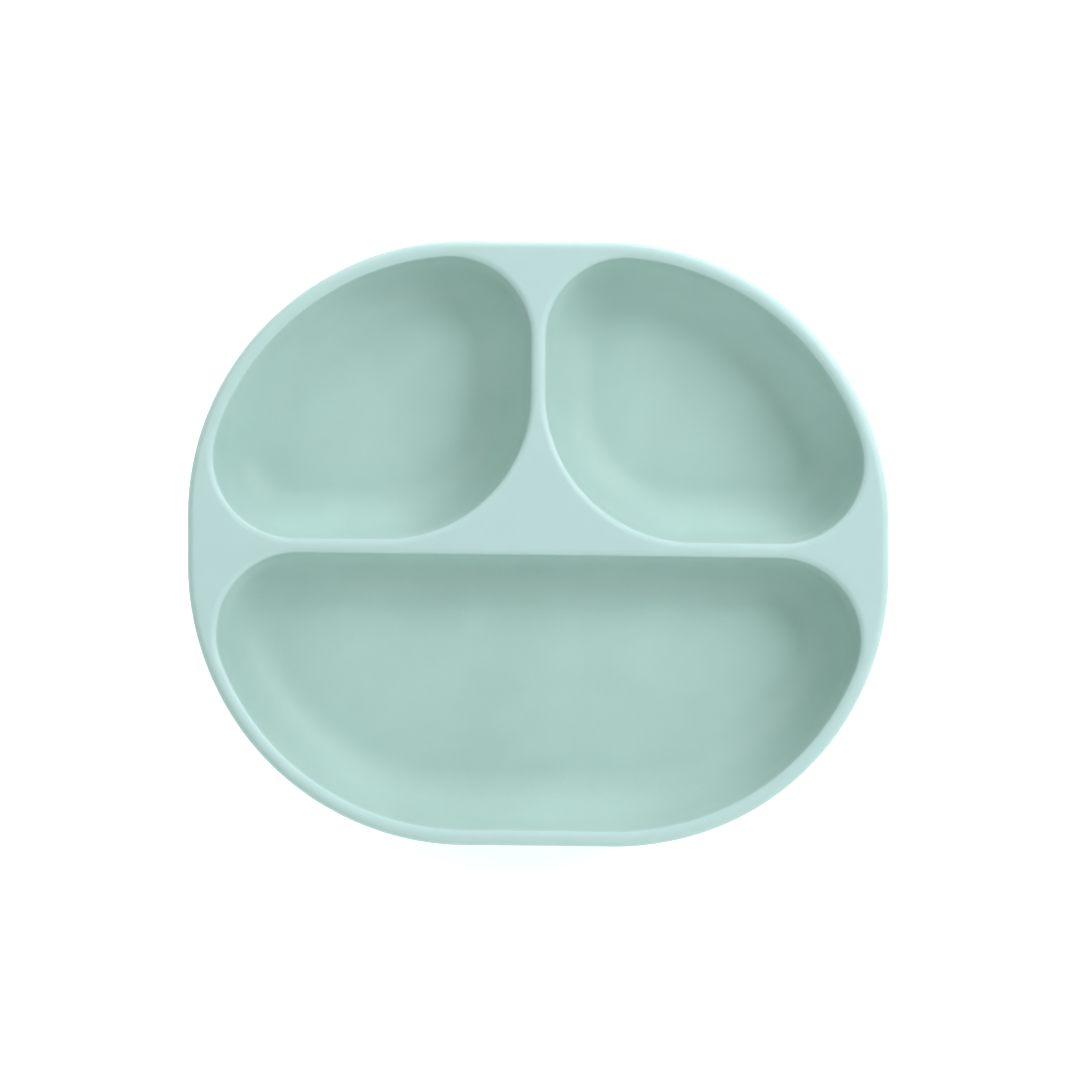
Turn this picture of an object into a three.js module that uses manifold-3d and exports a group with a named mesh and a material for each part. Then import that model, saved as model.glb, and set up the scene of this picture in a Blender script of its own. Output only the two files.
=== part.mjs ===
// Divided suction dish for a baby's first meals: a soft silicone tray with three wells that stands on
// four silicone suction cups. Each cup plugs into a socket under the tray, its skirt flattens when the
// tray is pressed down, and a pull tab on the skirt lets the air back in.
// Millimetres, +Z up, +Y to the rear (the two small wells), origin on the table under the tray's centre.
import * as THREE from "three";
import { mergeVertices } from "three/addons/utils/BufferGeometryUtils.js";
import Module from "manifold-3d";

// ---- Driving dimensions -------------------------------------------------------------------------
const WIDTH = 216; // across the rim, along X
const DEPTH = 186.2; // across the rim, along Y
const HEIGHT = 35; // table to rim
const CORNER_R = 86; // plan radius of the outline's four corners

const RIM_WALL = 4.7; // outline to the opening of a well
const DIVIDER = 4.3; // between the openings of two wells
const DIVIDER_Y = -1.4; // centre of the divider between the rear wells and the front well
const WELL_CORNER_R = 25; // plan radius of a well's tight corners
const WELL_INNER_R = 45.5; // plan radius of a rear well's corner next to the tray's centre
const WELL_DEPTH = 24;
const WELL_DRAFT = THREE.MathUtils.degToRad(8); // lean of a well's wall from the vertical
const WELL_LIP_R = 1.9; // round between the rim's flat top and a well's wall
const WELL_FLOOR_R = 16.5; // round between a well's wall and its floor

const RIM_EDGE_R = 2; // round between the rim's flat top and the tray's side
const SIDE_DRAFT = THREE.MathUtils.degToRad(9); // lean of the tray's side from the vertical
const BASE_EDGE_R = 14; // round between the tray's side and its underside
const FLOOR_T = 3.2; // floor of a well

const CUP_X = 56; // the four cups stand at (+-CUP_X, +-CUP_Y)
const CUP_Y = 47;
const BOSS_R = 7.4; // boss that holds a cup's plug
const BOSS_H = 2.8;
const SOCKET_R = 4.8;
const SOCKET_DEPTH = 4.2;
const FIT_GAP = 0.3; // between pieces that touch

const PLUG_R = 4.1; // plug between its ribs
const PLUG_RIB_R = SOCKET_R - FIT_GAP;
const PLUG_RIBS = 2;
const PLUG_BEVEL = 0.3; // slope of a rib's flanks and of the plug's end
const HUB_R = 7.4; // flange at the foot of the plug
const HUB_T = 2.1;
const SKIRT_R = 19; // sealing lip of the suction skirt
const SKIRT_ROOT_T = 2.1;
const SKIRT_LIP_T = 0.9;
const SEAL_WIDTH = 1.4; // flat ring of the lip that lies on the table
const BELL_POWER = 1.5; // the skirt falls as this power of the way out
const BELL_STEPS = 4;

const TAB_LENGTH = 10;
const TAB_WIDTH = 12;
const TAB_TAPER = 1; // each side narrows by this much towards the skirt
const TAB_CORNER_R = 4;
const TAB_T = 1.5;
const TAB_LIFT = 0.5; // tab's underside above the table
const TAB_RIB_H = 0.8; // grip rib across the tab's end
const TAB_RIB_W = 1.6;
const TAB_RIB_L = 6;

const CORE_MOUTH_R = 8.5; // half the width of the coring grooves under the dividers
const CORE_TOP_R = 2.5;
const CORE_H = 11.2;
const CORE_X = [18, 78]; // from end to end of a groove under the long divider
const CORE_Y = [28.4, 65.5]; // and of the groove between the rear wells
const POCKET_Y = 8; // round pocket under the land where the three dividers meet
const POCKET_MOUTH_R = 9.5;
const POCKET_TOP_R = 5;
const POCKET_H = 18;

const CHORD = 0.15; // furthest that a facet lies inside its arc
const ROUND_STEPS = 24; // facets round a cup
const BASE_EDGE_STEPS = 6; // facets across each round of the tray's section
const RIM_EDGE_STEPS = 4;
const WELL_FLOOR_STEPS = 7;
const WELL_LIP_STEPS = 3;
const TAB_CORNER_STEPS = 4;

// ---- Worked out from them -----------------------------------------------------------------------
const UNDERSIDE_Z = HEIGHT - WELL_DEPTH - FLOOR_T;
const BOSS_Z = UNDERSIDE_Z - BOSS_H;
const CUP_TOP_Z = BOSS_Z - FIT_GAP;
const HALF_DIVIDER = DIVIDER / 2;
const CORNER_X = WIDTH / 2 - CORNER_R; // centres of the outline's corner arcs
const CORNER_Y = DEPTH / 2 - CORNER_R;
const BEYOND = 2; // how far a cutting solid runs past the face that it cuts

const wasm = await Module();
wasm.setup();

// ---- Plan outlines: closed rings of arcs, anticlockwise, joined by straight edges ----------------
const arc = (x, y, r, from, to) => ({ x, y, r, from, to });
const HALF_TURN = Math.PI;
const QUARTER = Math.PI / 2;

function trayOutline() {
  return [
    arc(CORNER_X, CORNER_Y, CORNER_R, 0, QUARTER),
    arc(-CORNER_X, CORNER_Y, CORNER_R, QUARTER, HALF_TURN),
    arc(-CORNER_X, -CORNER_Y, CORNER_R, HALF_TURN, 3 * QUARTER),
    arc(CORNER_X, -CORNER_Y, CORNER_R, 3 * QUARTER, 4 * QUARTER),
  ];
}

// The right-hand rear well. Its outer arc runs beside the tray's corner, and its tight corners are
// tangent to that arc from inside.
function rearWellOutline() {
  const outerR = CORNER_R - RIM_WALL;
  const reach = outerR - WELL_CORNER_R;
  const frontY = DIVIDER_Y + HALF_DIVIDER;
  const sideY = frontY + WELL_CORNER_R;
  const sideX = CORNER_X + Math.sqrt(reach ** 2 - (sideY - CORNER_Y) ** 2);
  const backX = HALF_DIVIDER + WELL_CORNER_R;
  const backY = CORNER_Y + Math.sqrt(reach ** 2 - (backX - CORNER_X) ** 2);
  const sideAngle = Math.atan2(sideY - CORNER_Y, sideX - CORNER_X);
  const backAngle = Math.atan2(backY - CORNER_Y, backX - CORNER_X);
  return [
    arc(sideX, sideY, WELL_CORNER_R, -QUARTER, sideAngle),
    arc(CORNER_X, CORNER_Y, outerR, sideAngle, backAngle),
    arc(backX, backY, WELL_CORNER_R, backAngle, HALF_TURN),
    arc(
      HALF_DIVIDER + WELL_INNER_R,
      frontY + WELL_INNER_R,
      WELL_INNER_R,
      HALF_TURN,
      3 * QUARTER,
    ),
  ];
}

function frontWellOutline() {
  const outerR = CORNER_R - RIM_WALL;
  const reach = outerR - WELL_CORNER_R;
  const topY = DIVIDER_Y - HALF_DIVIDER - WELL_CORNER_R;
  const topX = CORNER_X + Math.sqrt(reach ** 2 - (topY + CORNER_Y) ** 2);
  const topAngle = Math.atan2(topY + CORNER_Y, topX - CORNER_X);
  return [
    arc(topX, topY, WELL_CORNER_R, topAngle, QUARTER),
    arc(-topX, topY, WELL_CORNER_R, QUARTER, HALF_TURN - topAngle),
    arc(-CORNER_X, -CORNER_Y, outerR, HALF_TURN - topAngle, 3 * QUARTER),
    arc(CORNER_X, -CORNER_Y, outerR, -QUARTER, topAngle),
  ];
}

// A slot with round ends between two points on one line along X or Y.
function slotOutline(x0, y0, x1, y1, r) {
  const along = Math.atan2(y1 - y0, x1 - x0);
  return [
    arc(x1, y1, r, along - QUARTER, along + QUARTER),
    arc(x0, y0, r, along + QUARTER, along + 3 * QUARTER),
  ];
}

// The outline moved inwards by inset, as a ring of points at height z. Every arc keeps its number of
// points, so rings at different insets join facet to facet.
function ring(outline, inset, z) {
  const points = [];
  for (const a of outline) {
    const step = 2 * Math.acos(1 - CHORD / a.r);
    const n = Math.max(2, Math.ceil((a.to - a.from) / step));
    for (let i = 0; i <= n; i++) {
      const t = a.from + ((a.to - a.from) * i) / n;
      points.push(
        new THREE.Vector3(
          a.x + (a.r - inset) * Math.cos(t),
          a.y + (a.r - inset) * Math.sin(t),
          z,
        ),
      );
    }
  }
  return points;
}

// ---- Profiles: [inset, z] pairs from the bottom up ----------------------------------------------
function profileArc(centreInset, centreZ, r, from, to, steps) {
  const points = [];
  for (let i = 0; i <= steps; i++) {
    const t = from + ((to - from) * i) / steps;
    points.push([centreInset + r * Math.cos(t), centreZ + r * Math.sin(t)]);
  }
  return points;
}

// The tray's side: underside edge, base round, leaning side and rim edge. Inset grows inwards, so
// the outward direction is the half turn.
function sideProfile() {
  const edgeZ = HEIGHT - RIM_EDGE_R;
  const sideTopInset = RIM_EDGE_R * (1 - Math.cos(SIDE_DRAFT));
  const sideTopZ = edgeZ - RIM_EDGE_R * Math.sin(SIDE_DRAFT);
  const sideFootZ = UNDERSIDE_Z + BASE_EDGE_R * (1 - Math.sin(SIDE_DRAFT));
  const sideFootInset =
    sideTopInset + (sideTopZ - sideFootZ) * Math.tan(SIDE_DRAFT);
  const baseInset = sideFootInset + BASE_EDGE_R * Math.cos(SIDE_DRAFT);
  return [
    ...profileArc(
      baseInset,
      UNDERSIDE_Z + BASE_EDGE_R,
      BASE_EDGE_R,
      -QUARTER,
      -HALF_TURN + SIDE_DRAFT,
      BASE_EDGE_STEPS,
    ),
    ...profileArc(
      RIM_EDGE_R,
      edgeZ,
      RIM_EDGE_R,
      HALF_TURN + SIDE_DRAFT,
      QUARTER,
      RIM_EDGE_STEPS,
    ),
  ];
}

// The hollow of a well: floor, floor round, leaning wall and lip, then straight up past the rim.
// Inset 0 is the top of the wall, where the lip starts.
function wellProfile() {
  const lean = 1 - Math.sin(WELL_DRAFT);
  const wallH = WELL_DEPTH - (WELL_LIP_R + WELL_FLOOR_R) * lean;
  const floorInset =
    wallH * Math.tan(WELL_DRAFT) + WELL_FLOOR_R * Math.cos(WELL_DRAFT);
  return [
    ...profileArc(
      floorInset,
      HEIGHT - WELL_DEPTH + WELL_FLOOR_R,
      WELL_FLOOR_R,
      -QUARTER,
      -HALF_TURN + WELL_DRAFT,
      WELL_FLOOR_STEPS,
    ),
    ...profileArc(
      -WELL_LIP_R * Math.cos(WELL_DRAFT),
      HEIGHT - WELL_LIP_R,
      WELL_LIP_R,
      WELL_DRAFT,
      QUARTER,
      WELL_LIP_STEPS,
    ),
    [-WELL_LIP_R * Math.cos(WELL_DRAFT), HEIGHT + BEYOND],
  ];
}

// ---- Solids -------------------------------------------------------------------------------------
// A closed body through convex rings, from the lowest to the highest.
function loft(rings) {
  const n = rings[0].length;
  const positions = rings.flat().flatMap((p) => p.toArray());
  const index = [];
  for (let k = 0; k + 1 < rings.length; k++) {
    for (let i = 0; i < n; i++) {
      const j = (i + 1) % n;
      const [a, b, c, d] = [
        k * n + i,
        k * n + j,
        (k + 1) * n + j,
        (k + 1) * n + i,
      ];
      index.push(a, b, c, a, c, d);
    }
  }
  const top = (rings.length - 1) * n;
  for (let i = 1; i + 1 < n; i++) {
    index.push(0, i + 1, i, top, top + i, top + i + 1);
  }
  const geometry = new THREE.BufferGeometry();
  geometry.setAttribute(
    "position",
    new THREE.Float32BufferAttribute(positions, 3),
  );
  geometry.setIndex(index);
  return geometry;
}

const loftProfile = (outline, profile) =>
  loft(profile.map(([inset, z]) => ring(outline, inset, z)));

// A body of revolution about Z from [radius, z] pairs.
function turned(pairs, steps = ROUND_STEPS) {
  const profile = pairs.map(([r, z]) => new THREE.Vector2(r, z));
  return new THREE.LatheGeometry(profile, steps).rotateX(QUARTER);
}

function cylinder(r, z0, z1, steps = ROUND_STEPS) {
  return turned(
    [
      [0, z0],
      [r, z0],
      [r, z1],
      [0, z1],
    ],
    steps,
  );
}

function solid(geometry) {
  const bare = geometry.clone();
  bare.deleteAttribute("normal");
  bare.deleteAttribute("uv");
  const merged = mergeVertices(bare, 1e-3);
  return new wasm.Manifold(
    new wasm.Mesh({
      numProp: 3,
      vertProperties: merged.attributes.position.array,
      triVerts: new Uint32Array(merged.index.array),
    }),
  );
}

function geometryOf(body) {
  const mesh = body.getMesh();
  const geometry = new THREE.BufferGeometry();
  geometry.setAttribute(
    "position",
    new THREE.BufferAttribute(mesh.vertProperties, 3),
  );
  geometry.setIndex(new THREE.BufferAttribute(mesh.triVerts, 1));
  geometry.computeVertexNormals();
  return geometry;
}

// ---- Materials ----------------------------------------------------------------------------------
const traySilicone = new THREE.MeshStandardMaterial({
  color: 0xaad6cd,
  roughness: 0.6,
  metalness: 0,
});
const cupSilicone = new THREE.MeshStandardMaterial({
  color: 0xa2cfc6,
  roughness: 0.45,
  metalness: 0,
});

// ---- The tray -----------------------------------------------------------------------------------
const cupPlaces = [
  { name: "rear_left", x: -CUP_X, y: CUP_Y },
  { name: "rear_right", x: CUP_X, y: CUP_Y },
  { name: "front_left", x: -CUP_X, y: -CUP_Y },
  { name: "front_right", x: CUP_X, y: -CUP_Y },
];

// Grooves under the dividers and a round pocket under their junction keep the silicone's thickness
// even, so that it cures evenly in the mould. Thin ribs part them.
function coringGroove(x0, y0, x1, y1) {
  const mouth = slotOutline(x0, y0, x1, y1, CORE_MOUTH_R);
  return loft([
    ring(mouth, 0, UNDERSIDE_Z - BEYOND),
    ring(mouth, 0, UNDERSIDE_Z),
    ring(mouth, CORE_MOUTH_R - CORE_TOP_R, UNDERSIDE_Z + CORE_H),
  ]);
}

function coringPocket() {
  return turned([
    [0, UNDERSIDE_Z - BEYOND],
    [POCKET_MOUTH_R, UNDERSIDE_Z - BEYOND],
    [POCKET_MOUTH_R, UNDERSIDE_Z],
    [POCKET_TOP_R, UNDERSIDE_Z + POCKET_H],
    [0, UNDERSIDE_Z + POCKET_H],
  ]).translate(0, POCKET_Y, 0);
}

function makeTray() {
  let tray = solid(loftProfile(trayOutline(), sideProfile()));
  const rearWell = solid(loftProfile(rearWellOutline(), wellProfile()));
  tray = tray.subtract(rearWell).subtract(rearWell.mirror([1, 0, 0]));
  tray = tray.subtract(solid(loftProfile(frontWellOutline(), wellProfile())));
  const sideGroove = solid(coringGroove(CORE_X[0], DIVIDER_Y, CORE_X[1], DIVIDER_Y));
  tray = tray.subtract(sideGroove).subtract(sideGroove.mirror([1, 0, 0]));
  tray = tray.subtract(solid(coringGroove(0, CORE_Y[0], 0, CORE_Y[1])));
  tray = tray.subtract(solid(coringPocket()));
  for (const { x, y } of cupPlaces) {
    const boss = cylinder(BOSS_R, BOSS_Z, UNDERSIDE_Z + FLOOR_T / 2);
    const socket = cylinder(SOCKET_R, BOSS_Z - BEYOND, BOSS_Z + SOCKET_DEPTH);
    tray = tray
      .add(solid(boss.translate(x, y, 0)))
      .subtract(solid(socket.translate(x, y, 0)));
  }
  const mesh = new THREE.Mesh(geometryOf(tray), traySilicone);
  mesh.name = "dish";
  return mesh;
}

// ---- A suction cup: plug, skirt and pull tab -----------------------------------------------------
// The plug that fills the tray's socket, with ribs that grip its wall and a flange at its foot.
function plugGeometry() {
  const top = BOSS_Z + SOCKET_DEPTH - FIT_GAP;
  const pitch = (top - CUP_TOP_Z) / (PLUG_RIBS + 1);
  const pairs = [
    [0, CUP_TOP_Z - HUB_T],
    [HUB_R, CUP_TOP_Z - HUB_T],
    [HUB_R, CUP_TOP_Z],
    [PLUG_R, CUP_TOP_Z],
  ];
  for (let i = 1; i <= PLUG_RIBS; i++) {
    const z = CUP_TOP_Z + i * pitch;
    pairs.push([PLUG_R, z - PLUG_BEVEL], [PLUG_RIB_R, z], [PLUG_R, z + PLUG_BEVEL]);
  }
  pairs.push([PLUG_R, top - PLUG_BEVEL], [PLUG_R - PLUG_BEVEL, top], [0, top]);
  return turned(pairs);
}

// The bell that seals on the table. Its lip is thin, and its root is as thick as the flange.
function skirtGeometry() {
  const rootR = HUB_R + FIT_GAP;
  const span = SKIRT_R - rootR;
  const bell = (radialSpan, drop, lipZ) => {
    const points = [];
    for (let i = 0; i <= BELL_STEPS; i++) {
      const t = i / BELL_STEPS;
      points.push([rootR + radialSpan * t, lipZ + drop * (1 - t ** BELL_POWER)]);
    }
    return points;
  };
  const inner = bell(span - SEAL_WIDTH, CUP_TOP_Z - SKIRT_ROOT_T, 0);
  const outer = bell(span, CUP_TOP_Z - SKIRT_LIP_T, SKIRT_LIP_T);
  return turned([...inner, [SKIRT_R, 0], ...outer.reverse(), inner[0]]);
}

// The tab lies outside the lip, along +X from its hinge line at the origin, and has a grip rib.
function tabGeometry() {
  const half = TAB_WIDTH / 2;
  const rootHalf = half - TAB_TAPER;
  const cornerX = TAB_LENGTH - TAB_CORNER_R;
  const cornerY = half - TAB_CORNER_R;
  const outline = new THREE.Shape();
  outline.moveTo(0, -rootHalf);
  outline.lineTo(cornerX, -half);
  outline.absarc(cornerX, -cornerY, TAB_CORNER_R, -QUARTER, 0);
  outline.absarc(cornerX, cornerY, TAB_CORNER_R, 0, QUARTER);
  outline.lineTo(0, rootHalf);
  outline.closePath();
  const plate = new THREE.ExtrudeGeometry(outline, {
    depth: TAB_T,
    bevelEnabled: false,
    curveSegments: TAB_CORNER_STEPS,
  }).translate(0, 0, TAB_LIFT);
  const ribFoot = TAB_LIFT + TAB_T / 2; // the rib starts inside the plate, so that the two join
  const ribTop = TAB_LIFT + TAB_T + TAB_RIB_H;
  const rib = new THREE.BoxGeometry(TAB_RIB_W, TAB_RIB_L, ribTop - ribFoot);
  rib.translate(cornerX, 0, (ribFoot + ribTop) / 2);
  return geometryOf(solid(plate).add(solid(rib)));
}

function makeCup({ name, x, y }) {
  const cup = new THREE.Group();
  cup.position.set(x, y, 0);
  cup.rotation.z = Math.atan2(y, x); // the tab points away from the tray's centre
  const plug = new THREE.Mesh(plugGeometry(), cupSilicone);
  plug.name = `cup_plug_${name}`;
  const skirt = new THREE.Mesh(skirtGeometry(), cupSilicone);
  skirt.name = `cup_skirt_${name}`;
  const tab = new THREE.Mesh(tabGeometry(), cupSilicone);
  tab.name = `pull_tab_${name}`;
  tab.position.x = SKIRT_R + FIT_GAP;
  cup.add(plug, skirt, tab);
  return cup;
}

const suctionDish = new THREE.Group();
suctionDish.add(makeTray());
for (const place of cupPlaces) suctionDish.add(makeCup(place));

export default suctionDish;
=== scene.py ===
import math

import bpy
import numpy as np
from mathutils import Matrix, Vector, geometry, noise


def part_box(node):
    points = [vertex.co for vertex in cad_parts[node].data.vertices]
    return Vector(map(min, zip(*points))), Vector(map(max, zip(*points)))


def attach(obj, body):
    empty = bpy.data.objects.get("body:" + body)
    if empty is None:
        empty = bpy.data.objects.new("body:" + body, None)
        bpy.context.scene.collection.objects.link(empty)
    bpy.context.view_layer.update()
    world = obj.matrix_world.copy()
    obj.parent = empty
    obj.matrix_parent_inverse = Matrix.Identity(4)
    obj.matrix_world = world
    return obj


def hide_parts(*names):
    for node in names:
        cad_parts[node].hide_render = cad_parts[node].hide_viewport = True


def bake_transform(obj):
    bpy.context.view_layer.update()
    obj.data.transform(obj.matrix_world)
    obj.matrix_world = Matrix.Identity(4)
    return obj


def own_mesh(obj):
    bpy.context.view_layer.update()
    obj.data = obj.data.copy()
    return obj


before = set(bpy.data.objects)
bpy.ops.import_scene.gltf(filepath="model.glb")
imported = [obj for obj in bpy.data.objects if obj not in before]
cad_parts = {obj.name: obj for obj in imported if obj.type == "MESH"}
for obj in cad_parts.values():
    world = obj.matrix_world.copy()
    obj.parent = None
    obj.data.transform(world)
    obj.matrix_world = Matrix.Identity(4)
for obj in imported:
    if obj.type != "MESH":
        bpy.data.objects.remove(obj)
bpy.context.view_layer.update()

# ---- Driving dimensions ---------------------------------------------------------------------------
MM = 0.001
QUARTER = math.pi / 2
TRAY_LOW, TRAY_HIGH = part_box("dish")
WIDTH = TRAY_HIGH.x - TRAY_LOW.x
DEPTH = TRAY_HIGH.y - TRAY_LOW.y
RIM_Z = TRAY_HIGH.z
BOSS_Z = TRAY_LOW.z  # foot of the bosses that hold the cups' plugs
UNDERSIDE_Z = BOSS_Z + 2.8 * MM
CORNER_R = 86 * MM  # plan radius of the outline's corners
RIM_WALL = 4.7 * MM  # outline to a well's opening
RIM_EDGE_R = 2.4 * MM
SIDE_DRAFT = math.radians(9)
BASE_EDGE_R = 14 * MM
FLASH = 0.12 * MM  # the mould's parting line stands out by this much
FLASH_HALF = 0.2 * MM

DIVIDER = 4.3 * MM
DIVIDER_Y = -1.4 * MM
WELL_CORNER_R = 25 * MM
WELL_INNER_R = 45.5 * MM  # a rear well's corner next to the tray's centre
WELL_DEPTH = 24 * MM
WELL_DRAFT = math.radians(8)
WELL_LIP_R = 3.1 * MM
WELL_LIP_TURN = math.radians(40)  # the lip's round stops at this slope, in an edge above the wall
WELL_LIP_EDGE_R = 0.3 * MM
WELL_FLOOR_R = 16.5 * MM

SOCKET_R = 4.8 * MM
SOCKET_DEPTH = 4.2 * MM
BOSS_R = 7.4 * MM
BOSS_EDGE_R = 0.5 * MM
BOSS_ROOT_R = 1.2 * MM  # round where a boss meets the underside

CORE_MOUTH_R = 8.5 * MM  # half the width of the coring grooves under the dividers
CORE_TOP_R = 2.5 * MM
CORE_H = 11.2 * MM
CORE_X = (18 * MM, 78 * MM)
CORE_Y = (28.4 * MM, 65.5 * MM)
CORE_EDGE_R = 0.8 * MM  # round of a groove's mouth
POCKET_Y = 8 * MM
POCKET_MOUTH_R = 9.5 * MM
POCKET_TOP_R = 5 * MM
POCKET_H = 18 * MM

PLUG_R = 4.1 * MM
PLUG_BEVEL = 0.35 * MM
PLUG_RIBS = 2
PLUG_RIB_R = 4.5 * MM
PLUG_RIB_HALF = 0.55 * MM
PLUG_SUNK = 0.6 * MM  # the plug's foot reaches this far into the bell
LIP_R = 19 * MM  # bell's sealing lip
LIP_T = 0.9 * MM
LIP_FLAT = 1.4 * MM  # ring of the lip that lies on the table
BELL_T = 2.1 * MM  # bell's thickness at its middle
NECK_R = 5.6 * MM  # flat top of the bell, under the boss
BELL_POWER = 1.5
UNDER_POWER = 1.7  # the hollow under the bell is a little fuller than the bell's top
UNDER_STEPS = 60
SEAL_RINGS = (0.66, 0.78)  # fine sealing rings in the hollow, at these parts of the lip's radius
SEAL_RING_H = 0.3 * MM
SEAL_RING_HALF = 0.4 * MM
OVER_STEPS = 15
LIP_ROUND_R = LIP_T / 2 - 0.1 * MM
LIP_ROUND_STEPS = 8
LIP_WORN = 1.5 * MM  # ring of the lip that the table polishes

TAB_LENGTH = 10 * MM
TAB_WIDTH = 12 * MM
TAB_ROOT = 1.4 * MM  # the tab starts this far inside the lip's edge
TAB_CORNER_R = 4 * MM
TAB_EDGE_R = 0.6 * MM
TAB_ROOT_R = 0.78 * MM
TAB_ROOT_WIDTH = 10 * MM
TAB_ROOT_LOW = 0.15 * MM  # the tab's root lies inside the lip, from this height
TAB_ROOT_T = 0.55 * MM
TAB_BEND = 3 * MM  # the tab bends and thickens over this length
TAB_RIBS = (4.6 * MM, 6.4 * MM, 8.2 * MM)  # grip ribs across the tab, from the lip's edge
TAB_RIB_H = 0.55 * MM
TAB_RIB_HALF = 0.45 * MM
TAB_RIB_REACH = 0.36  # the ribs fade out at this part of the tab's width from its middle
TAB_RIB_ROOM = 0.8 * MM  # from the tab's plate up to the top of its CAD box
TAB_STEP = 0.45 * MM
RIBBED_FROM = 0.99  # part of the plate's height from which a point belongs to its ribbed top

POINT_STEP = 1.5 * MM  # spacing of the points along the tray's rings
FILL_STEP = 2.4 * MM  # and inside its flat stretches
CUP_STEP = 0.9 * MM
ARC_STEPS = 8  # the fewest steps round one arc of an outline
ROUND_POINTS = 9  # points over a tab's edge and over a plug's rib
MERGE_DISTANCE = 1e-9
CLEARANCE = 0.7  # part of a net's spacing that its points keep away from its edge
CENTRE_RING = 0.5  # a turned body's end is a flat ring of this part of its radius

# The tray is soft, so that its rim leans a little from the base's square plan, splays at its front
# corners and waves slightly.
RIM_SKEW = 0.0115
RIM_SPLAY = 0.45 * MM
WAVE = 0.12 * MM
WAVE_UP = 0.6  # part of the wave that goes up and down
WAVE_LENGTH = 45 * MM
WAVE_SEED = 7

# The painted highlight (a paler colour) and the polish on the rim are full down to the first of these
# depths below the rim, and end at the second.
RIM_HIGHLIGHT_FULL = 1.5 * MM
RIM_HIGHLIGHT_END = 3 * MM


# ---- Plan outlines: rings of arcs (x, y, radius, from, to), anticlockwise --------------------------
CORNER_X = WIDTH / 2 - CORNER_R
CORNER_Y = DEPTH / 2 - CORNER_R
WELL_R = CORNER_R - RIM_WALL
WELL_REACH = WELL_R - WELL_CORNER_R


def tray_outline():
    return [
        (CORNER_X, CORNER_Y, CORNER_R, 0, QUARTER),
        (-CORNER_X, CORNER_Y, CORNER_R, QUARTER, 2 * QUARTER),
        (-CORNER_X, -CORNER_Y, CORNER_R, 2 * QUARTER, 3 * QUARTER),
        (CORNER_X, -CORNER_Y, CORNER_R, 3 * QUARTER, 4 * QUARTER),
    ]


def rear_right_outline():
    """Its outer arc runs beside the tray's corner, and its tight corners touch that arc from inside."""
    front_y = DIVIDER_Y + DIVIDER / 2
    side_y = front_y + WELL_CORNER_R
    side_x = CORNER_X + math.sqrt(WELL_REACH**2 - (side_y - CORNER_Y) ** 2)
    back_x = DIVIDER / 2 + WELL_CORNER_R
    back_y = CORNER_Y + math.sqrt(WELL_REACH**2 - (back_x - CORNER_X) ** 2)
    side_angle = math.atan2(side_y - CORNER_Y, side_x - CORNER_X)
    back_angle = math.atan2(back_y - CORNER_Y, back_x - CORNER_X)
    inner_x = DIVIDER / 2 + WELL_INNER_R
    inner_y = front_y + WELL_INNER_R
    return [
        (side_x, side_y, WELL_CORNER_R, -QUARTER, side_angle),
        (CORNER_X, CORNER_Y, WELL_R, side_angle, back_angle),
        (back_x, back_y, WELL_CORNER_R, back_angle, 2 * QUARTER),
        (inner_x, inner_y, WELL_INNER_R, 2 * QUARTER, 3 * QUARTER),
    ]


def mirrored(outline):
    """The outline on the other side of the plane X = 0, still anticlockwise."""
    return [
        (-x, y, r, 2 * QUARTER - end, 2 * QUARTER - start)
        for x, y, r, start, end in reversed(outline)
    ]


def front_outline():
    top_y = DIVIDER_Y - DIVIDER / 2 - WELL_CORNER_R
    top_x = CORNER_X + math.sqrt(WELL_REACH**2 - (top_y + CORNER_Y) ** 2)
    top_angle = math.atan2(top_y + CORNER_Y, top_x - CORNER_X)
    return [
        (top_x, top_y, WELL_CORNER_R, top_angle, QUARTER),
        (-top_x, top_y, WELL_CORNER_R, QUARTER, 2 * QUARTER - top_angle),
        (-CORNER_X, -CORNER_Y, WELL_R, 2 * QUARTER - top_angle, 3 * QUARTER),
        (CORNER_X, -CORNER_Y, WELL_R, -QUARTER, top_angle),
    ]


def slot_outline(start, end, radius):
    (x0, y0), (x1, y1) = start, end
    along = math.atan2(y1 - y0, x1 - x0)
    return [
        (x1, y1, radius, along - QUARTER, along + QUARTER),
        (x0, y0, radius, along + QUARTER, along + 3 * QUARTER),
    ]


def circle_outline(x, y, radius):
    return [(x, y, radius, 0, 4 * QUARTER)]


def on_arc(arc, inset, angle):
    x, y, r = arc[:3]
    return (x + (r - inset) * math.cos(angle), y + (r - inset) * math.sin(angle))


def ring_points(outline, inset, z, step):
    """The outline moved inwards by inset. Its points match those of any other inset one to one."""
    points = []
    for arc, following in zip(outline, outline[1:] + outline[:1]):
        _, _, r, start, end = arc
        count = max(ARC_STEPS, math.ceil(r * (end - start) / step))
        points += [on_arc(arc, inset, start + (end - start) * i / count) for i in range(count)]
        gap = math.dist(on_arc(arc, 0, end), on_arc(following, 0, following[3]))
        count = round(gap / step + 0.4)  # no point for a gap under a tenth of a step
        first = Vector(on_arc(arc, inset, end))
        last = Vector(on_arc(following, inset, following[3]))
        points += [first.lerp(last, i / count)[:] for i in range(count)]
    return [(x, y, z) for x, y in points]


# ---- Sections: lists of (inset, z) -----------------------------------------------------------------
def section_arc(inset, z, r, start, end, steps):
    angles = [start + (end - start) * i / steps for i in range(steps + 1)]
    return [(inset + r * math.cos(t), z + r * math.sin(t)) for t in angles]


def joined(*stretches, step):
    """The stretches one after another, with points at about that step on the straights between."""
    points = list(stretches[0])
    for stretch in stretches[1:]:
        first, last = Vector(points[-1]), Vector(stretch[0])
        count = max(1, round((last - first).length / step))
        points += [first.lerp(last, i / count)[:] for i in range(1, count)]
        points += stretch
    return points


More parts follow.
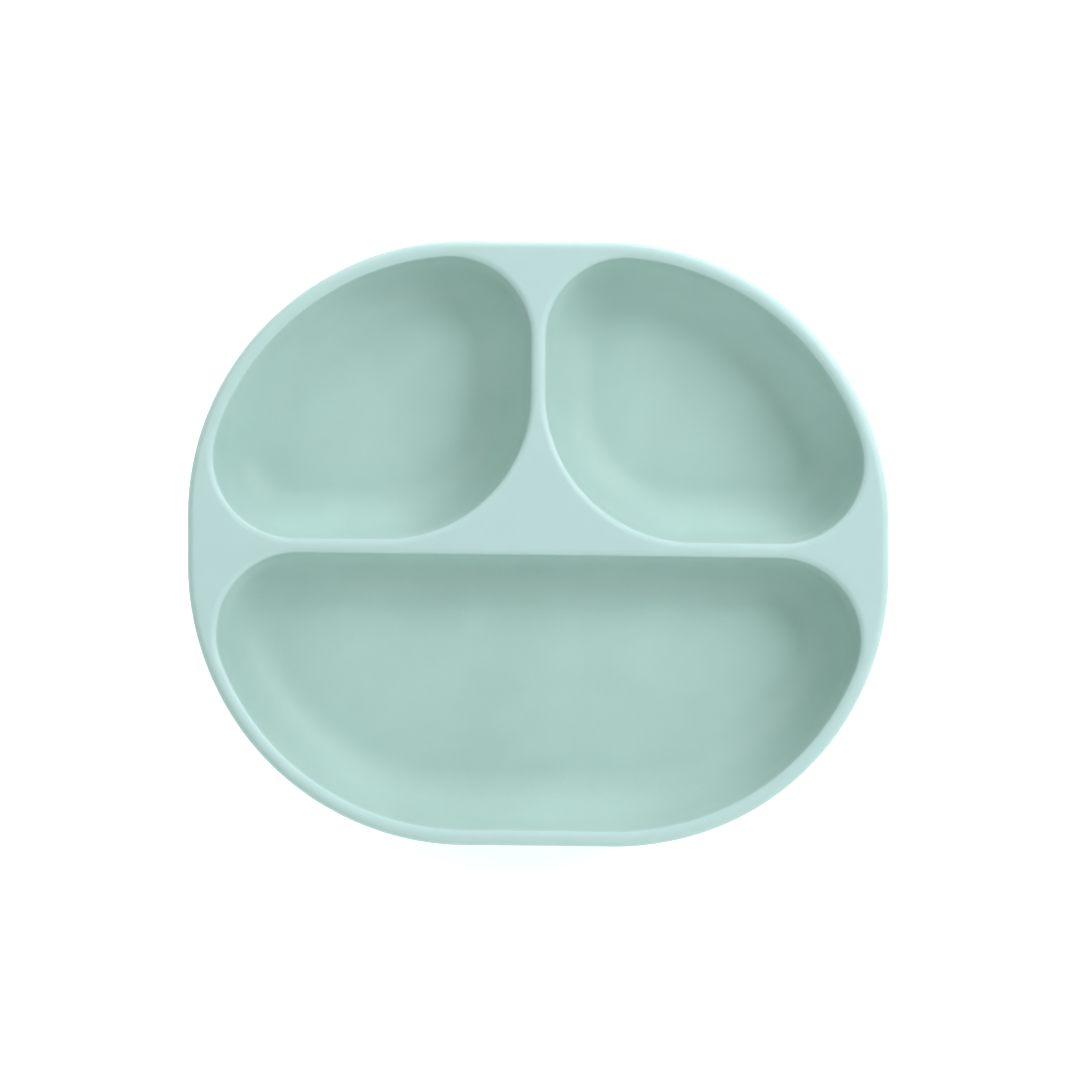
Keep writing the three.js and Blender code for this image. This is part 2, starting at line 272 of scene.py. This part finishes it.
def moved(stretch, end):
    """The stretch shifted so that it ends at that point."""
    shift_x = end[0] - stretch[-1][0]
    shift_z = end[1] - stretch[-1][1]
    return [(x + shift_x, z + shift_z) for x, z in stretch]


def side_section():
    """The tray's side from the underside up to the rim's flat top."""
    edge_z = RIM_Z - RIM_EDGE_R
    top_inset = RIM_EDGE_R * (1 - math.cos(SIDE_DRAFT))
    top_z = edge_z - RIM_EDGE_R * math.sin(SIDE_DRAFT)
    foot_z = UNDERSIDE_Z + BASE_EDGE_R * (1 - math.sin(SIDE_DRAFT))
    foot_inset = top_inset + (top_z - foot_z) * math.tan(SIDE_DRAFT)
    base_inset = foot_inset + BASE_EDGE_R * math.cos(SIDE_DRAFT)
    base_z = UNDERSIDE_Z + BASE_EDGE_R
    base = section_arc(base_inset, base_z, BASE_EDGE_R, -QUARTER, -2 * QUARTER + SIDE_DRAFT, steps=14)
    flash_inset = top_inset + 2 * FLASH_HALF * math.sin(SIDE_DRAFT)
    flash = [
        (flash_inset, top_z - 2 * FLASH_HALF),
        (flash_inset - FLASH, top_z - FLASH_HALF),
    ]
    rim = section_arc(RIM_EDGE_R, edge_z, RIM_EDGE_R, 2 * QUARTER + SIDE_DRAFT, QUARTER, steps=10)
    return joined(base, flash, rim, step=1.6 * MM)


def well_section():
    """A well from the rim's flat top down to its floor."""
    steep = 2 * QUARTER - WELL_DRAFT
    lip_end = QUARTER - WELL_LIP_TURN
    edge = section_arc(0, 0, WELL_LIP_EDGE_R, lip_end, WELL_DRAFT, steps=4)
    lip = section_arc(0, 0, WELL_LIP_R, QUARTER, lip_end, steps=9)
    lip_drop = lip[0][1] - lip[-1][1]
    edge_drop = edge[0][1] - edge[-1][1]
    wall_top = RIM_Z - lip_drop - edge_drop
    floor_z = RIM_Z - WELL_DEPTH + WELL_FLOOR_R
    wall_foot = floor_z - WELL_FLOOR_R * math.sin(WELL_DRAFT)
    floor_inset = (wall_top - wall_foot) * math.tan(WELL_DRAFT) + WELL_FLOOR_R * math.cos(WELL_DRAFT)
    edge = moved(edge, (0, wall_top))
    lip = moved(lip, edge[0])
    floor = section_arc(floor_inset, floor_z, WELL_FLOOR_R, -steep, -QUARTER, steps=18)
    return joined(lip + edge[1:], floor, step=1.4 * MM)


def coring_section(mouth_r, top_r, height):
    """A groove or pocket under the tray, from its ceiling down to its rounded mouth."""
    slope = math.atan2(height, mouth_r - top_r)
    wall = [(mouth_r - top_r, UNDERSIDE_Z + height)]
    # The mouth's round touches the sloping wall and the flat underside.
    reach = CORE_EDGE_R * math.tan(slope / 2)
    mouth_z = UNDERSIDE_Z + CORE_EDGE_R
    mouth = section_arc(-reach, mouth_z, CORE_EDGE_R, QUARTER - slope, -QUARTER, steps=5)
    return joined(wall, mouth, step=1.6 * MM)


def boss_section():
    """A boss and its socket, from the socket's ceiling round the boss's foot to the underside."""
    socket_inset = BOSS_R - SOCKET_R
    edge_z = BOSS_Z + BOSS_EDGE_R
    ceiling = [(socket_inset, BOSS_Z + SOCKET_DEPTH)]
    socket_foot = section_arc(socket_inset - BOSS_EDGE_R, edge_z, BOSS_EDGE_R, 0, -QUARTER, steps=4)
    boss_foot = section_arc(BOSS_EDGE_R, edge_z, BOSS_EDGE_R, -QUARTER, -2 * QUARTER, steps=4)
    root = section_arc(-BOSS_ROOT_R, UNDERSIDE_Z - BOSS_ROOT_R, BOSS_ROOT_R, 0, QUARTER, steps=5)
    return joined(ceiling, socket_foot, boss_foot, root, step=0.9 * MM)


# ---- Mesh making -----------------------------------------------------------------------------------
def inside(points, loops):
    """Which points lie inside the first loop and outside the others, by counting crossings."""
    result = np.zeros(len(points), bool)
    for loop in loops:
        x0, y0 = loop.T
        x1, y1 = np.roll(loop, -1, axis=0).T
        px, py = points[:, :1], points[:, 1:]
        spans = (y0 > py) != (y1 > py)
        rise = np.where(y1 == y0, 1, y1 - y0)
        crossings = spans & (px < x0 + (py - y0) * (x1 - x0) / rise)
        result ^= crossings.sum(1) % 2 == 1
    return result


def spread_points(loops, step):
    """Points of a triangle grid that lie inside the loops and not close to them."""
    edge = np.vstack(loops)
    low, high = edge.min(0), edge.max(0)
    rows = []
    for row, y in enumerate(np.arange(low[1], high[1], step * math.sqrt(3) / 2)):
        xs = np.arange(low[0] + (row % 2) * step / 2, high[0], step)
        rows.append(np.c_[xs, np.full(len(xs), y)])
    grid = np.vstack(rows)
    grid = grid[inside(grid, loops)]
    clear = [np.hypot(*(edge - point).T).min() > CLEARANCE * step for point in grid]
    return grid[np.array(clear, bool)]


class Maker:
    """Collects points and faces. Its paler-colour mask marks the tray's rim and rounded top edges, where
    it is a painted highlight, and the cups' lips, where it is wear that the table rubs. A surface is
    lofted along a section, with the ring's left side
    outwards: a section that runs up makes an outer wall, and one that runs down makes the wall of a
    hollow."""

    def __init__(self, step, fill_step):
        self.step = step
        self.fill_step = fill_step
        self.points = []
        self.faces = []
        self.wear_and_highlight = []

    def add(self, points, wear_and_highlight=0.0):
        first = len(self.points)
        self.points += points
        self.wear_and_highlight += [wear_and_highlight] * len(points)
        return list(range(first, first + len(points)))

    def loft(self, outline, section, wear_and_highlight=lambda inset, z: 0.0):
        """Returns the first and the last ring."""
        rings = [
            self.add(ring_points(outline, inset, z, self.step), wear_and_highlight(inset, z))
            for inset, z in section
        ]
        for a, b in zip(rings, rings[1:]):
            for i in range(len(a)):
                j = (i + 1) % len(a)
                self.faces.append((a[i], a[j], b[j], b[i]))
        return rings[0], rings[-1]

    def flat(self, outer, holes=(), up=True, wear_and_highlight=0.0):
        """Fills a flat stretch with a net of triangles, and leaves the holes open."""
        rings = [outer, *holes]
        index = [i for ring in rings for i in ring]
        loops = [np.array([self.points[i][:2] for i in ring]) for ring in rings]
        grid = spread_points(loops, self.fill_step)
        z = self.points[outer[0]][2]
        index += self.add([(x, y, z) for x, y in grid.tolist()], wear_and_highlight)
        segments = []
        start = 0
        for ring in rings:
            count = len(ring)
            segments += [(start + i, start + (i + 1) % count) for i in range(count)]
            start += count
        flat_points = np.vstack([*loops, grid])
        coords = [Vector(p) for p in flat_points]
        _, _, faces, origin, _, _ = geometry.delaunay_2d_cdt(
            coords, segments, [], 0, MERGE_DISTANCE
        )
        corners = np.array([[origin[k][0] for k in face] for face in faces])
        keep = inside(flat_points[corners].mean(1), loops)
        for triangle in corners[keep].tolist():
            (ax, ay), (bx, by), (cx, cy) = flat_points[triangle]
            faces_up = (bx - ax) * (cy - ay) > (by - ay) * (cx - ax)
            if faces_up != up:
                triangle.reverse()
            self.faces.append(tuple(index[k] for k in triangle))

    def build(self, name, material, shape=lambda p: p):
        mesh = bpy.data.meshes.new(name)
        mesh.from_pydata([shape(p) for p in self.points], [], self.faces)
        mesh.update()
        wear_and_highlight = mesh.attributes.new("wear_and_highlight", "FLOAT", "POINT")
        wear_and_highlight.data.foreach_set("value", self.wear_and_highlight)
        mesh.shade_smooth()
        mesh.materials.append(material)
        piece = bpy.data.objects.new(name, mesh)
        bpy.context.scene.collection.objects.link(piece)
        piece.modifiers.new("weighted", "WEIGHTED_NORMAL")
        return piece


# ---- Materials -------------------------------------------------------------------------------------
class Nodes:
    """A short way to write a material's node tree."""

    def __init__(self, name):
        self.material = bpy.data.materials.new(name)
        self.material.use_nodes = True
        self.tree = self.material.node_tree
        self.shader = self.tree.nodes["Principled BSDF"]
        coordinates = self.tree.nodes.new("ShaderNodeTexCoord")
        self.place = coordinates.outputs["Object"]

    def new(self, kind, inputs=(), **settings):
        node = self.tree.nodes.new("ShaderNode" + kind)
        for key, value in settings.items():
            setattr(node, key, value)
        for key, value in dict(inputs).items():
            self.put(node.inputs[key], value)
        return node

    def put(self, socket, value):
        if isinstance(value, bpy.types.NodeSocket):
            self.tree.links.new(value, socket)
        else:
            socket.default_value = value

    def noise(self, scale, detail, roughness=0.5):
        """Noise from 0 to 1, with scale patches to the metre."""
        inputs = {"Vector": self.place, "Scale": scale, "Detail": detail, "Roughness": roughness}
        return self.new("TexNoise", inputs).outputs["Fac"]

    def mapped(self, value, span, levels):
        """The value, with the span's ends moved to the two levels and held there beyond them."""
        inputs = {0: value, 1: span[0], 2: span[1], 3: levels[0], 4: levels[1]}
        return self.new("MapRange", inputs).outputs["Result"]

    def maths(self, operation, a, b):
        return self.new("Math", {0: a, 1: b}, operation=operation).outputs["Value"]

    def mixed(self, factor, a, b):
        node = self.new("Mix", data_type="RGBA")
        self.put(node.inputs["Factor"], factor)
        self.put(node.inputs["A"], a)
        self.put(node.inputs["B"], b)
        return node.outputs["Result"]

    def bump(self, height, strength, distance, **below):
        """A normal with the height added, on top of the normal below if there is one."""
        inputs = {"Height": height, "Strength": strength, "Distance": distance, **below}
        return self.new("Bump", inputs).outputs["Normal"]


# The silicone's surface. Scales are in patches to the metre, and DEEP, PALE and SHADE multiply the
# silicone's own colour.
CLOUD_SCALE = 38
CLOUD_DEEP = 0.955
CLOUD_PALE = 1.03
FINE_SCALE = 1900
FINE_MOST = 0.05
FINE_SHADE = 0.6
RUB_AND_HIGHLIGHT_SCALE = 140
RUB_AND_HIGHLIGHT_LEAST = 0.88
RUB_POLISH = 0.05
LINT_SCALE = 95
LINT_CORE = 0.018  # radius of a speck and of its soft edge, in parts of its patch
LINT_EDGE = 0.03
LINT_RARE = 0.965  # part of the patches with no lint
LINT_MOST = 0.35
LINT_COLOUR = (0.16, 0.24, 0.22, 1)
LINT_H = 0.1 * MM
LINT_STRENGTH = 0.5
SMUDGE_SCALE = 26
SMUDGE_ROUGHNESS = 0.6
SMUDGE_LEVELS = (-0.045, 0.05)  # added to the silicone's roughness
GRAIN_SCALE = 2600
GRAIN_H = 0.05 * MM
SWELL_SCALE = 120
SWELL_H = 0.6 * MM
SWELL_STRENGTH = 0.12
SILICONE_IOR = 1.41
SCATTER_WEIGHT = 0.5
SCATTER_RADIUS = (0.8, 1.0, 0.9)
SCATTER_SCALE = 3.0 * MM
SHEEN_WEIGHT = 0.12
SHEEN_ROUGHNESS = 0.5


def silicone(name, colour, rubbed_and_highlight_colour, roughness, matt_grain):
    """Moulded silicone rubber: an even pigment with faint clouds, the spark-eroded grain of the mould,
    paler and slightly polished where its mask is set (a painted highlight on the tray's rim, wear on the
    cups' lips), and the odd speck of lint that it always picks up."""
    n = Nodes(name)
    tint = n.mapped(n.noise(CLOUD_SCALE, detail=3), span=(0.3, 0.7), levels=(0, 1))
    deep = [c * CLOUD_DEEP for c in colour] + [1]
    pale = [min(1, c * CLOUD_PALE) for c in colour] + [1]
    body = n.mixed(tint, deep, pale)
    fine = n.mapped(n.noise(FINE_SCALE, detail=2), span=(0.35, 0.65), levels=(0, FINE_MOST))
    body = n.mixed(fine, body, [c * FINE_SHADE for c in colour] + [1])
    wear_and_highlight = n.new("Attribute", attribute_name="wear_and_highlight").outputs["Fac"]
    uneven = n.mapped(n.noise(RUB_AND_HIGHLIGHT_SCALE, detail=4), span=(0.35, 0.7), levels=(RUB_AND_HIGHLIGHT_LEAST, 1))
    rub_and_highlight = n.maths("MULTIPLY", wear_and_highlight, uneven)
    # Paler colour: a painted highlight on the tray's rim and top edges, and wear on the cups' lips.
    body = n.mixed(rub_and_highlight, body, [*rubbed_and_highlight_colour, 1])

    patches = n.new("TexVoronoi", {"Vector": n.place, "Scale": LINT_SCALE}, feature="F1")
    specks = n.mapped(patches.outputs["Distance"], span=(LINT_CORE, LINT_EDGE), levels=(1, 0))
    chance = n.new("SeparateColor", {"Color": patches.outputs["Color"]}).outputs["Red"]
    lint = n.maths("MULTIPLY", specks, n.maths("GREATER_THAN", chance, LINT_RARE))
    body = n.mixed(n.maths("MULTIPLY", lint, LINT_MOST), body, LINT_COLOUR)
    n.put(n.shader.inputs["Base Color"], body)

    patchy = n.noise(SMUDGE_SCALE, detail=4, roughness=SMUDGE_ROUGHNESS)
    smudge = n.mapped(patchy, span=(0.3, 0.75), levels=SMUDGE_LEVELS)
    dull = n.maths("ADD", smudge, roughness)
    polished = n.maths("SUBTRACT", dull, n.maths("MULTIPLY", rub_and_highlight, RUB_POLISH))
    n.put(n.shader.inputs["Roughness"], polished)

    grain = n.bump(n.noise(GRAIN_SCALE, detail=3), matt_grain, GRAIN_H)
    swell = n.bump(n.noise(SWELL_SCALE, detail=2), SWELL_STRENGTH, SWELL_H, Normal=grain)
    n.put(n.shader.inputs["Normal"], n.bump(lint, LINT_STRENGTH, LINT_H, Normal=swell))

    n.shader.inputs["IOR"].default_value = SILICONE_IOR
    n.shader.inputs["Subsurface Weight"].default_value = SCATTER_WEIGHT
    n.shader.inputs["Subsurface Radius"].default_value = SCATTER_RADIUS
    n.shader.inputs["Subsurface Scale"].default_value = SCATTER_SCALE
    n.shader.inputs["Sheen Weight"].default_value = SHEEN_WEIGHT
    n.shader.inputs["Sheen Roughness"].default_value = SHEEN_ROUGHNESS
    return n.material


tray_silicone = silicone(
    "tray_silicone",
    colour=(0.402, 0.573, 0.536),
    # On the tray this rubbed colour is a painted highlight on its rim and rounded top edges.
    rubbed_and_highlight_colour=(0.450, 0.612, 0.602),
    roughness=0.50,
    matt_grain=0.35,
)
cup_silicone = silicone(
    "cup_silicone",
    colour=(0.362, 0.530, 0.486),
    rubbed_and_highlight_colour=(0.412, 0.575, 0.550),
    roughness=0.36,
    matt_grain=0.15,
)


# ---- The tray --------------------------------------------------------------------------------------
def settled(point):
    """Where a point of the soft tray comes to rest: the rim leans, splays and waves, and the base
    doesn't."""
    x, y, z = point
    free = min(1, max(0, (z - UNDERSIDE_Z) / (RIM_Z - UNDERSIDE_Z)))
    sway = noise.noise_vector(Vector(point) / WAVE_LENGTH) * WAVE * free
    # The splay is full halfway round a front corner, and nothing at the middle of each side.
    across = x / (WIDTH / 2)
    forward = max(0.0, -y / (DEPTH / 2))
    splay = Vector((x, y)).normalized() * RIM_SPLAY * free * (2 * across * forward) ** 2
    return (
        x + splay.x + sway.x,
        y + splay.y - RIM_SKEW * free * x + sway.y,
        z + sway.z * WAVE_UP,
    )


def rim_highlight_and_polish(inset, z):
    """Painted highlight and polish: full on the rim and its rounded edges, and nothing further down."""
    depth = RIM_Z - z
    return min(1.0, max(0.0, (RIM_HIGHLIGHT_END - depth) / (RIM_HIGHLIGHT_END - RIM_HIGHLIGHT_FULL)))


def make_tray(cups):
    noise.seed_set(WAVE_SEED)  # else the waves differ from run to run
    maker = Maker(POINT_STEP, FILL_STEP)
    base_ring, rim_ring = maker.loft(tray_outline(), side_section(), rim_highlight_and_polish)
    well_rings = []
    for outline in (rear_right_outline(), mirrored(rear_right_outline()), front_outline()):
        top, floor = maker.loft(outline, well_section(), rim_highlight_and_polish)
        maker.flat(floor)
        well_rings.append(top)
    # The rim's flat top gets the full painted highlight, a paler colour.
    maker.flat(rim_ring, well_rings, wear_and_highlight=1.0)

    mouths = []
    groove = coring_section(CORE_MOUTH_R, CORE_TOP_R, CORE_H)
    right = slot_outline((CORE_X[0], DIVIDER_Y), (CORE_X[1], DIVIDER_Y), CORE_MOUTH_R)
    rear = slot_outline((0, CORE_Y[0]), (0, CORE_Y[1]), CORE_MOUTH_R)
    hollows = [(right, groove), (mirrored(right), groove), (rear, groove)]
    pocket = coring_section(POCKET_MOUTH_R, POCKET_TOP_R, POCKET_H)
    hollows.append((circle_outline(0, POCKET_Y, POCKET_MOUTH_R), pocket))
    for x, y in cups:
        hollows.append((circle_outline(x, y, BOSS_R), boss_section()))
    for outline, section in hollows:
        ceiling, mouth = maker.loft(outline, section)
        maker.flat(ceiling, up=False)
        mouths.append(mouth)
    maker.flat(base_ring, mouths, up=False)
    return maker.build("dish_body", tray_silicone, settled)


# ---- Suction cups ----------------------------------------------------------------------------------
def bell_section(bell_z):
    """A closed section from the axis under the bell, round its lip, to the axis on top of it."""
    flat_r = LIP_R - LIP_FLAT
    lip_top = 2 * LIP_ROUND_R
    round_x = LIP_R - LIP_ROUND_R
    under = []
    for i in range(1, UNDER_STEPS):
        t = i / UNDER_STEPS
        r = flat_r * t
        ridges = sum(math.exp(-(((r - at * LIP_R) / SEAL_RING_HALF) ** 2)) for at in SEAL_RINGS)
        hollow = (bell_z - BELL_T) * (1 - t**UNDER_POWER)
        under.append((r, hollow - SEAL_RING_H * ridges))
    foot = [(flat_r, 0.0), (round_x, 0.0)]
    lip = section_arc(round_x, LIP_ROUND_R, LIP_ROUND_R, -QUARTER, QUARTER, LIP_ROUND_STEPS)
    over = []
    for i in range(OVER_STEPS + 1):
        t = 1 - i / OVER_STEPS
        rise = (bell_z - lip_top) * (1 - t**BELL_POWER)
        over.append((NECK_R + (round_x - NECK_R) * t, lip_top + rise))
    return under + foot + lip[1:-1] + over + [(NECK_R * CENTRE_RING, bell_z)]


def turned(maker, x, y, section, wear_and_highlight=lambda r, z: 0.0):
    """A body of revolution: its section runs from near the axis, low, to near the axis, high."""
    widest = max(r for r, _ in section)
    outline = circle_outline(x, y, widest)
    first, last = maker.loft(
        outline, [(widest - r, z) for r, z in section], lambda inset, z: wear_and_highlight(widest - inset, z)
    )
    maker.flat(first, up=False)
    maker.flat(last)


def make_bell(name, x, y, top_z):
    maker = Maker(CUP_STEP, CUP_STEP)
    turned(maker, x, y, bell_section(top_z), lambda r, z: max(0.0, 1 - (LIP_R - r) / LIP_WORN))
    return maker.build(f"suction_bell_{name}", cup_silicone)


def plug_rib(middle_z):
    """A ring that swells out of the plug and back, from below its middle to above it."""
    rise = (PLUG_RIB_R - PLUG_R) / 2
    return [
        (PLUG_R + rise * (1 + math.cos(math.pi * t)), middle_z + t * PLUG_RIB_HALF)
        for t in np.linspace(-1, 1, ROUND_POINTS)
    ]


def make_plug(name, x, y, low_z, high_z):
    centre_r = PLUG_R * CENTRE_RING
    section = [(centre_r, low_z), (PLUG_R, low_z)]
    rib_pitch = (high_z - low_z - PLUG_SUNK) / (PLUG_RIBS + 1)
    for k in range(1, PLUG_RIBS + 1):
        section += plug_rib(low_z + PLUG_SUNK + k * rib_pitch)
    section += section_arc(PLUG_R - PLUG_BEVEL, high_z - PLUG_BEVEL, PLUG_BEVEL, 0, QUARTER, steps=5)
    section.append((centre_r, high_z))
    maker = Maker(CUP_STEP, CUP_STEP)
    turned(maker, x, y, section)
    return maker.build(f"cup_plug_fine_{name}", cup_silicone)


def tab_outline():
    """A tongue along +X from just inside the lip's edge, where x = 0."""
    end_x = TAB_LENGTH - TAB_CORNER_R
    side_y = TAB_WIDTH / 2 - TAB_CORNER_R
    root_r = TAB_ROOT_R
    root_x = -TAB_ROOT + root_r
    root_y = TAB_ROOT_WIDTH / 2 - root_r
    return [
        (end_x, -side_y, TAB_CORNER_R, -QUARTER, 0),
        (end_x, side_y, TAB_CORNER_R, 0, QUARTER),
        (root_x, root_y, root_r, QUARTER, 2 * QUARTER),
        (root_x, -root_y, root_r, 2 * QUARTER, 3 * QUARTER),
    ]


def make_tab(name, hinge, outwards, low_z, high_z):
    maker = Maker(TAB_STEP, TAB_STEP)
    plate_z = high_z - TAB_RIB_ROOM
    middle = (low_z + plate_z) / 2
    half = (plate_z - low_z) / 2
    section = [
        (TAB_EDGE_R - TAB_EDGE_R * math.cos(t), middle + half * math.sin(t))
        for t in np.linspace(-QUARTER, QUARTER, ROUND_POINTS)
    ]
    bottom, top = maker.loft(tab_outline(), section)
    maker.flat(bottom, up=False)
    maker.flat(top)
    sideways = Vector((-outwards.y, outwards.x, 0))

    def shape(point):
        """Sinks the root into the lip, raises the ribs and turns the tab outwards."""
        x, y, z = point
        root = min(1, max(0, 1 - x / TAB_BEND))
        root = root * root * (3 - 2 * root)
        height = (z - low_z) / (plate_z - low_z)
        z -= root * (low_z - TAB_ROOT_LOW + height * TAB_ROOT_T)
        if height > RIBBED_FROM:
            side = max(0.0, 1 - (abs(y) / (TAB_WIDTH * TAB_RIB_REACH)) ** 4)
            rib = sum(math.exp(-(((x - at) / TAB_RIB_HALF) ** 2)) for at in TAB_RIBS)
            z += TAB_RIB_H * rib * side
        place = hinge + outwards * x + sideways * y
        return (place.x, place.y, z)

    return maker.build(f"tab_tongue_{name}", cup_silicone, shape)


CUP_NAMES = ("rear_left", "rear_right", "front_left", "front_right")


def cup_centre(name):
    low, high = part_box(f"cup_plug_{name}")
    return (low + high) / 2


def make_cup(name):
    centre = cup_centre(name)
    plug_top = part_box(f"cup_plug_{name}")[1].z
    bell_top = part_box(f"cup_skirt_{name}")[1].z
    tab_low, tab_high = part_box(f"pull_tab_{name}")
    bell = make_bell(name, centre.x, centre.y, bell_top)
    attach(bell, f"cup_{name}")
    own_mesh(bell)
    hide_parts(f"cup_skirt_{name}")

    plug = make_plug(name, centre.x, centre.y, bell_top - PLUG_SUNK, plug_top)
    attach(plug, f"cup_{name}")
    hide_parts(f"cup_plug_{name}")

    outwards = Vector((centre.x, centre.y, 0)).normalized()
    hinge = Vector((centre.x, centre.y, 0)) + outwards * LIP_R
    tab = make_tab(name, hinge, outwards, tab_low.z, tab_high.z)
    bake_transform(tab)
    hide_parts(f"pull_tab_{name}")


tray = make_tray([cup_centre(name)[:2] for name in CUP_NAMES])
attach(tray, "dish")
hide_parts("dish")
for cup_name in CUP_NAMES:
    make_cup(cup_name)


# ---- Floor, light and camera -----------------------------------------------------------------------
FLOOR_REACH = 3.0
FLOOR_COLOUR = (0.9, 0.9, 0.9, 1)
FLOOR_ROUGHNESS = 0.9
FLOOR_SHINE = 0.1
FLOOR_GLOW = 0.45
FLOOR_FAR_GLOW = 0.92  # so that the far floor meets the backdrop without an edge
FLOOR_NEAR = 0.5  # the glow changes between these distances from the dish
FLOOR_FAR = 1.4
WORLD_COLOUR = (0.12, 1, 0.22, 1)
WORLD_STRENGTH = 0.09
BACKDROP_COLOUR = (0.97, 0.97, 0.97, 1)  # what the camera sees past the floor
CAMERA_HEIGHT = 0.9  # above the rim
CAMERA_REACH = 10
CAMERA_X = 0.5 * MM
CAMERA_Y = 1.1 * MM
SENSOR_WIDTH = 36
VIEW_WIDTH = 331.8 * MM  # seen at the rim's height
LIGHT_DISTANCE = 1.5
LIGHT_COLOUR = (1, 0.95, 1)
# Softboxes: name, azimuth from +X towards +Y, elevation, size, watts. The key is at the rear right.
SOFTBOXES = (
    ("key", 30, 38, 0.8, 18.3),
    ("front_fill", 280, 33, 1.5, 15.9),
    ("left_fill", 140, 50, 1.0, 10.7),
    ("rear_fill", 80, 12, 1.0, 9.7),
    ("under_fill", 215, -70, 0.8, 6.0),
)


def make_floor():
    """A white floor, one-sided so that the dish's underside shows from below."""
    mesh = bpy.data.meshes.new("floor")
    corners = [(x * FLOOR_REACH, y * FLOOR_REACH, 0) for x, y in ((-1, -1), (1, -1), (1, 1), (-1, 1))]
    mesh.from_pydata(corners, [], [(0, 1, 2, 3)])
    floor = bpy.data.objects.new("floor", mesh)
    bpy.context.scene.collection.objects.link(floor)
    n = Nodes("pale_floor")
    n.shader.inputs["Base Color"].default_value = FLOOR_COLOUR
    n.shader.inputs["Roughness"].default_value = FLOOR_ROUGHNESS
    n.shader.inputs["Specular IOR Level"].default_value = FLOOR_SHINE
    n.shader.inputs["Emission Color"].default_value = (1, 1, 1, 1)
    distance = n.new("VectorMath", {0: n.place}, operation="LENGTH").outputs["Value"]
    glow = n.mapped(distance, (FLOOR_NEAR, FLOOR_FAR), (FLOOR_GLOW, FLOOR_FAR_GLOW))
    n.put(n.shader.inputs["Emission Strength"], glow)
    below = n.new("NewGeometry").outputs["Backfacing"]
    clear = n.new("BsdfTransparent").outputs["BSDF"]
    surface = n.new("MixShader", {0: below, 1: n.shader.outputs["BSDF"], 2: clear})
    n.put(n.tree.nodes["Material Output"].inputs["Surface"], surface.outputs["Shader"])
    mesh.materials.append(n.material)
    floor.visible_shadow = False  # lets the light from under the floor reach the dish


def make_light(name, azimuth, elevation, size, power):
    """A square softbox that faces the dish."""
    data = bpy.data.lights.new(name, "AREA")
    data.size = size
    data.energy = power
    data.color = LIGHT_COLOUR
    light = bpy.data.objects.new(name, data)
    turn, rise = math.radians(azimuth), math.radians(elevation)
    direction = Vector((math.cos(rise) * math.cos(turn), math.cos(rise) * math.sin(turn), math.sin(rise)))
    light.location = direction * LIGHT_DISTANCE
    light.rotation_euler = (-direction).to_track_quat("-Z", "Y").to_euler()
    light.visible_camera = False
    bpy.context.scene.collection.objects.link(light)


def make_camera():
    """Straight above the dish, as far as the wells' walls show evenly on all sides."""
    data = bpy.data.cameras.new("camera")
    camera = bpy.data.objects.new("camera", data)
    data.sensor_width = SENSOR_WIDTH
    data.lens = SENSOR_WIDTH * CAMERA_HEIGHT / VIEW_WIDTH
    data.clip_end = CAMERA_REACH
    camera.location = (CAMERA_X, CAMERA_Y, RIM_Z + CAMERA_HEIGHT)
    camera.rotation_euler = (0, 0, 0)
    bpy.context.scene.collection.objects.link(camera)
    bpy.context.scene.camera = camera


def make_world():
    """A dim sky that tints the shadows, behind a pale backdrop."""
    world = bpy.data.worlds.new("studio")
    world.use_nodes = True
    tree = world.node_tree
    sky = tree.nodes["Background"]
    sky.inputs["Color"].default_value = WORLD_COLOUR
    sky.inputs["Strength"].default_value = WORLD_STRENGTH
    backdrop = tree.nodes.new("ShaderNodeBackground")
    backdrop.inputs["Color"].default_value = BACKDROP_COLOUR
    ray = tree.nodes.new("ShaderNodeLightPath")
    seen = tree.nodes.new("ShaderNodeMixShader")
    tree.links.new(ray.outputs["Is Camera Ray"], seen.inputs[0])
    tree.links.new(sky.outputs["Background"], seen.inputs[1])
    tree.links.new(backdrop.outputs["Background"], seen.inputs[2])
    tree.links.new(seen.outputs["Shader"], tree.nodes["World Output"].inputs["Surface"])
    bpy.context.scene.world = world


make_floor()
for softbox in SOFTBOXES:
    make_light(*softbox)
make_camera()
make_world()
bpy.context.scene.view_settings.view_transform = "Standard"
